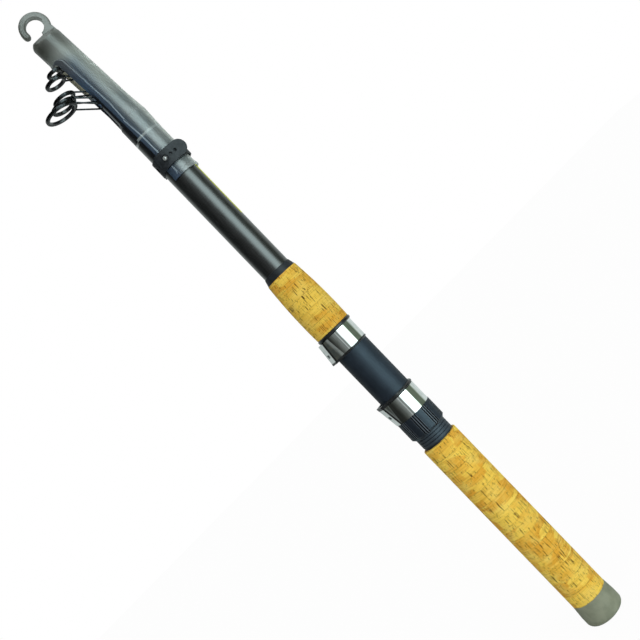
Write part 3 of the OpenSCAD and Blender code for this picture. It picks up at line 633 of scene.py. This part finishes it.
rim_highlight_white = (0.50, 0.64, 0.74, 1)
smoky, shader, place = finish(
    "frosted_finish", Transmission_Weight=0.6, IOR=1.45, Coat_Roughness=0.22)
x, y, z = place.parts()
side = x * math.sin(cover_turn) + y * math.cos(cover_turn)
past = x * math.cos(cover_turn) - y * math.sin(cover_turn)
past = past + (z - border_from) * border_lean + line_from_axis
past_corner = place.sum("MAXIMUM", past + corner_r, 0)
over_corner = place.sum("MAXIMUM", z - slot_end + corner_r, 0)
beyond = place.sum("POWER", past_corner * past_corner + over_corner * over_corner, 0.5) - corner_r
outer = ramp(abs(side) - ramp(z, shoulder_low, shoulder_high, 10.4, 9.65), -0.1, 0.1)
# Painted highlight: a thin light line along the outer edge of the slot's rim, as light on its
# raised edge.
line = between(beyond, -0.35, -0.1, 0.05, 0.3) * outer * ramp(z, 515, 524, 0.42, 0.05)
# Painted light: a bright ring where the butt section's metal mouth ring shines through the cover;
# it is painted on the cover and moves with it.
mouth_glint = between(z, mouth_z - 1.1, mouth_z - 0.6, mouth_z + 0.5, mouth_z + 1.0)
haze_light_and_shade = mixed(spread(noise(place, 0.08, 4)), smoke_dark, smoke_light)
haze_light_and_shade = mixed(ramp(z, cover_low + 2, cover_low + 10, 0.45, 0), haze_light_and_shade, skirt_grey)
haze_light_and_shade = mixed(ramp(z, 470, 520), haze_light_and_shade, upper_grey)
# Painted light: the haze grows lighter towards the back of the cover, as light coming through from
# behind.
haze_light_and_shade = mixed(ramp(past, 11.4, 14.4), haze_light_and_shade, backlit_grey)
shade = ramp(beyond / ramp(z, shoulder_high, 535, 5.5, 15), 0.04, 1, 1, 0)
haze_light_and_shade = mixed(shade * ramp(z, 516, 532, 1, 0.12), haze_light_and_shade, shade_blue)
# Painted shade and light: near its end the cover is painted darker on the slot's side, as a dark
# reflection, and lighter on the back.
end = mixed(ramp(past, -8, 6), end_shade, end_lit)
haze_light_and_shade = mixed(ramp(z, 520, 540), haze_light_and_shade, end)
border_light_and_shade = mixed(ramp(z, 500, 525), border_blue, border_grey)
# Painted light: the far edge of the slot is painted olive, as light coming through from behind.
border_light_and_shade = mixed(ramp(side, 0, 2) * ramp(z, 494, 504), border_light_and_shade, backlit_olive)
# Painted shade: the slot's near edge is painted black, for the dark tube and the shade in the
# slot.
slot_shade = ramp(past, -3.0, -2.6, 0.95, 0) * between(z, 430, 436, 490, 500)
border_light_and_shade = mixed(slot_shade, border_light_and_shade, slot_shade_black)
haze_light_and_shade = mixed(ramp(beyond, -0.2, 0.1, 1, 0), haze_light_and_shade, border_light_and_shade)
haze_light_and_shade = mixed(mouth_glint * 0.7, haze_light_and_shade, mouth_glint_white)
connect(mixed(line, haze_light_and_shade, rim_highlight_white), shader["Base Color"])
connect(spread(noise(place, 1.2, 3), 0.30, 0.40), shader["Roughness"])
connect(ramp(z, 452, 500, 0.6, 0.05), shader["Coat Weight"])
dress(smoky, "tip_cover")

# Strap: a moulded rubber band round the cover, through its slot, with a tab of three
# holes that is pulled over a turned metal peg.
strap_black = (0.012, 0.015, 0.018, 1)
strap_grey = (0.024, 0.029, 0.034, 1)
band, shader, place = finish("strap_rubber_finish", Specular_IOR_Level=0.22)
cloud = noise(place, 0.35, 4)
grit = noise(place, 3.0, 2)
connect(mixed(spread(cloud), strap_black, strap_grey), shader["Base Color"])
connect(spread(grit, 0.42, 0.6), shader["Roughness"])
relief(grit, 0.12, shader)
dress(band, "strap_band", "strap_tab")

dull_peg = (0.50, 0.51, 0.52, 1)
bright_peg = (0.80, 0.80, 0.79, 1)
peg, shader, place = finish("peg_finish", Metallic=1.0)
cloud = noise(place, 1.2, 3)
connect(mixed(cloud, dull_peg, bright_peg), shader["Base Color"])
connect(spread(cloud, 0.16, 0.3), shader["Roughness"])
dress(peg, "strap_peg")

# Camera: the photograph's view of the rod, 20 degrees round from its front, with
# the rod lying across the picture.
round_from_front = math.radians(20)
tilt_cos = 0.71989
tilt_sin = 0.69409
middle_height = 0.2793
middle_shift = 0.00230
lens = 50
sensor = 36
pixels = 640
pixel_mm = 0.683
side = Vector((math.cos(round_from_front), -math.sin(round_from_front), 0))
toward = Vector((-math.sin(round_from_front), -math.cos(round_from_front), 0))
up = Vector((0, 0, 1))
right = side * tilt_cos - up * tilt_sin
above = side * tilt_sin + up * tilt_cos
distance = lens / sensor * pixels * pixel_mm / 1000
eye = up * middle_height - side * middle_shift + toward * distance
view = bpy.data.cameras.new("camera")
view.lens = lens
camera = bpy.data.objects.new("camera", view)
bpy.context.scene.collection.objects.link(camera)
camera.matrix_world = Matrix((
    (right.x, above.x, toward.x, eye.x),
    (right.y, above.y, toward.y, eye.y),
    (right.z, above.z, toward.z, eye.z),
    (0, 0, 0, 1)))
bpy.context.scene.camera = camera

# Studio light: a white room with a soft box, a fill light, a narrow strip light and a
# darker wall on either side, all placed by their angle round the rod from the camera.
white = (1, 1, 1, 1)
cool_white = (0.91, 1.0, 0.98, 1)
far_wall_green = (0.80, 1.0, 0.74, 1)
guide_wall_green = (0.92, 1.0, 0.90, 1)
soft_box_blue = (0.80, 1.0, 1.0, 1)
world = bpy.data.worlds.new("studio")
world.use_nodes = True
bpy.context.scene.world = world
tree = world.node_tree
background = tree.nodes["Background"].inputs
heading = Value(tree, tree.nodes.new("ShaderNodeTexCoord").outputs["Generated"])
dot_product = {"operation": "DOT_PRODUCT"}
across = heading.add("ShaderNodeVectorMath", dot_product, heading, tuple(side), out="Value")
front = heading.add("ShaderNodeVectorMath", dot_product, heading, tuple(toward), out="Value")
angle = heading.sum("ARCTAN2", across, front) * (180 / math.pi)
soft_box = between(angle, -1, 20, 46, 64)
fill = between(angle, -45, -30, 5, 15)
strip = between(angle, -16, -12, -10, -6)
guide_wall = between(angle, -125, -100, -65, -10)
far_wall = between(angle, 52, 64, 96, 112)
back = ramp(angle, 96, 112, 0, 0.5) + ramp(angle, -125, -105, 0.30, 0)
seen = 0.22 + soft_box * 4.6 - guide_wall * 0.19 - far_wall * 0.06 + strip * 0.25 + back
shed = 0.62 + soft_box * 1.1 + fill * 0.8 - guide_wall * 0.60 - far_wall * 0.3
ray = tree.nodes.new("ShaderNodeLightPath").outputs
glossy = Value(tree, ray["Is Glossy Ray"])
through = Value(tree, ray["Is Transmission Ray"])
plain = glossy.sum("MAXIMUM", Value(tree, ray["Is Camera Ray"]), through)
lit = 1 - plain
level = shed + glossy * (seen - shed)
connect(level + plain * (1 - level), background["Strength"])
tint = mixed(glossy * lit, white, cool_white)
tint = mixed(far_wall * lit, tint, far_wall_green)
tint = mixed(guide_wall * lit, tint, guide_wall_green)
connect(mixed(soft_box * glossy * lit, tint, soft_box_blue), background["Color"])

# Floor: a sheet of white paper that the rod's end stands just clear of. It is shown
# as plain white and keeps a trace of the rod's shadow.
paper_white = (0.9, 0.9, 0.9, 1)
bpy.ops.mesh.primitive_plane_add(size=6, location=(0, 0, -0.0005))
floor = bpy.context.object
floor.name = "floor"
floor.visible_glossy = False
paper = bpy.data.materials.new("white_paper")
paper.use_nodes = True
tree = paper.node_tree
sheet = tree.nodes["Principled BSDF"]
sheet.inputs["Base Color"].default_value = paper_white
sheet.inputs["Roughness"].default_value = 0.9
glow = tree.nodes.new("ShaderNodeEmission")
blend = tree.nodes.new("ShaderNodeMixShader")
ray = tree.nodes.new("ShaderNodeLightPath").outputs
connect(Value(tree, ray["Is Camera Ray"]) * 0.96, blend.inputs[0])
tree.links.new(sheet.outputs[0], blend.inputs[1])
tree.links.new(glow.outputs[0], blend.inputs[2])
tree.links.new(blend.outputs[0], tree.nodes["Material Output"].inputs["Surface"])
floor.data.materials.append(paper)
bpy.context.scene.view_settings.view_transform = "Standard"
